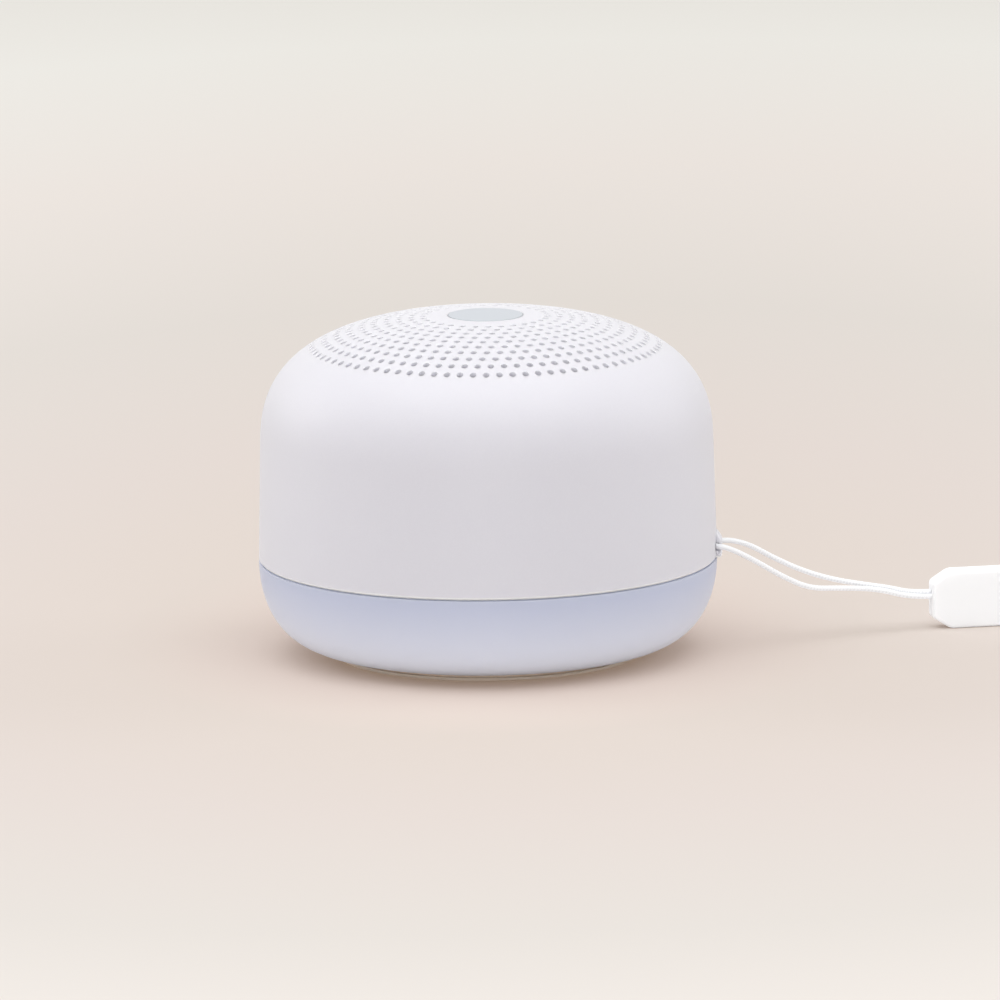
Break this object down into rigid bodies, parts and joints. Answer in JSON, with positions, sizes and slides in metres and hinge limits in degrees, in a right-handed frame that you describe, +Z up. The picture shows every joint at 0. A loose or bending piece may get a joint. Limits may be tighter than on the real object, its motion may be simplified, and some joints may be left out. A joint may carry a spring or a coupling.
{
  "type": "white noise sound machine",
  "caption": "Portable domed sound machine with a perforated speaker grille over a milky light bowl, rear press buttons, and a doubled lanyard cord with a soft wrist strap.",
  "frame": {"origin": "centre of the foot pad's underside, on the surface it stands on", "axes": "+Z up along the body's axis; +X towards the lanyard eyelet; +Y towards the rear, where the buttons and the charging socket are"},
  "size_m": [0.229, 0.1019, 0.0672],
  "materials": {
    "housing_plastic": "fine-grain moulded ABS, warm white",
    "disc_plastic": "smooth satin ABS",
    "copper_foil": "copper touch electrode",
    "grille_cloth": "fine acoustic mesh",
    "black_plastic": "moulded ABS",
    "foam_gasket": "closed-cell foam",
    "basket_steel": "pressed steel, black",
    "plain_steel": "zinc-plated",
    "ferrite": "sintered ferrite ring",
    "cone_paper": "coated paper",
    "copper_wire": "enamelled copper winding",
    "surround_rubber": "soft rubber roll",
    "spider_cloth": "resin-treated cloth",
    "white_plastic": "moulded ABS",
    "foam_pad": "adhesive foam",
    "battery_pouch": "foil pouch cell",
    "circuit_board": "glass-epoxy laminate",
    "lamp_laminate": "white laminate",
    "chip_epoxy": "moulded packages",
    "switch_body": "moulded bodies",
    "socket_steel": "drawn steel shell",
    "led_body": "clear epoxy",
    "clear_plastic": "clear acrylic",
    "milky_plastic": "translucent opal polycarbonate",
    "reflector_film": "white film",
    "foot_rubber": "soft translucent silicone",
    "cord_braid": "braided polyester",
    "strap_silicone": "soft white silicone",
    "button_plastic": "satin ABS",
    "plunger_plastic": "moulded acetal",
    "screw_steel": "zinc-plated"
  },
  "bodies": {
    "base": {"baffle": "black_plastic", "baffle_screws": "screw_steel", "battery": "battery_pouch", "battery_pad": "foam_pad", "board_chips": "chip_epoxy", "board_screws": "screw_steel", "bowl_screws": "screw_steel", "cord_front": "cord_braid", "cord_rear": "cord_braid", "driver_screws": "screw_steel", "foot_pad": "foot_rubber", "frame_screws": "screw_steel", "grille_cloth": "grille_cloth", "housing": "housing_plastic", "inner_frame": "white_plastic", "lamp_board": "lamp_laminate", "lamp_screws": "screw_steel", "lamps": "led_body", "light_bowl": "milky_plastic", "light_pipe": "clear_plastic", "main_board": "circuit_board", "reflector": "reflector_film", "speaker_basket": "basket_steel", "speaker_gasket": "foam_gasket", "speaker_magnet": "ferrite", "speaker_spider": "spider_cloth", "speaker_surround": "surround_rubber", "speaker_top_plate": "plain_steel", "speaker_yoke": "plain_steel", "status_led": "led_body", "switch_board": "circuit_board", "switch_screws": "screw_steel", "tact_switches": "switch_body", "touch_disc": "disc_plastic", "touch_foil": "copper_foil", "usb_socket": "socket_steel", "wrist_strap": "strap_silicone"},
    "button_power": {"button_power": "button_plastic", "plunger_power": "plunger_plastic"},
    "button_volume_down": {"button_volume_down": "button_plastic", "plunger_volume_down": "plunger_plastic"},
    "button_volume_up": {"button_volume_up": "button_plastic", "plunger_volume_up": "plunger_plastic"},
    "button_sound": {"button_sound": "button_plastic", "plunger_sound": "plunger_plastic"},
    "button_timer": {"button_timer": "button_plastic", "plunger_timer": "plunger_plastic"},
    "cone_assembly": {"speaker_cone": "cone_paper", "dust_cap": "cone_paper", "voice_coil": "copper_wire"}
  },
  "joints": [
    {"name": "power_press", "type": "slide", "parent": "base", "child": "button_power", "axis": [0, -1, 0], "range_m": [0, 0.0004], "stiffness_N_per_m": 3000},
    {"name": "volume_down_press", "type": "slide", "parent": "base", "child": "button_volume_down", "axis": [0, -1, 0], "range_m": [0, 0.0004], "stiffness_N_per_m": 3000},
    {"name": "volume_up_press", "type": "slide", "parent": "base", "child": "button_volume_up", "axis": [0, -1, 0], "range_m": [0, 0.0004], "stiffness_N_per_m": 3000},
    {"name": "sound_press", "type": "slide", "parent": "base", "child": "button_sound", "axis": [0, -1, 0], "range_m": [0, 0.0004], "stiffness_N_per_m": 3000},
    {"name": "timer_press", "type": "slide", "parent": "base", "child": "button_timer", "axis": [0, -1, 0], "range_m": [0, 0.0004], "stiffness_N_per_m": 3000},
    {"name": "cone_stroke", "type": "slide", "parent": "base", "child": "cone_assembly", "axis": [0, 0, 1], "range_m": [-0.0008, 0.0008], "stiffness_N_per_m": 2000, "deforming": ["speaker_surround", "speaker_spider"]}
  ]
}
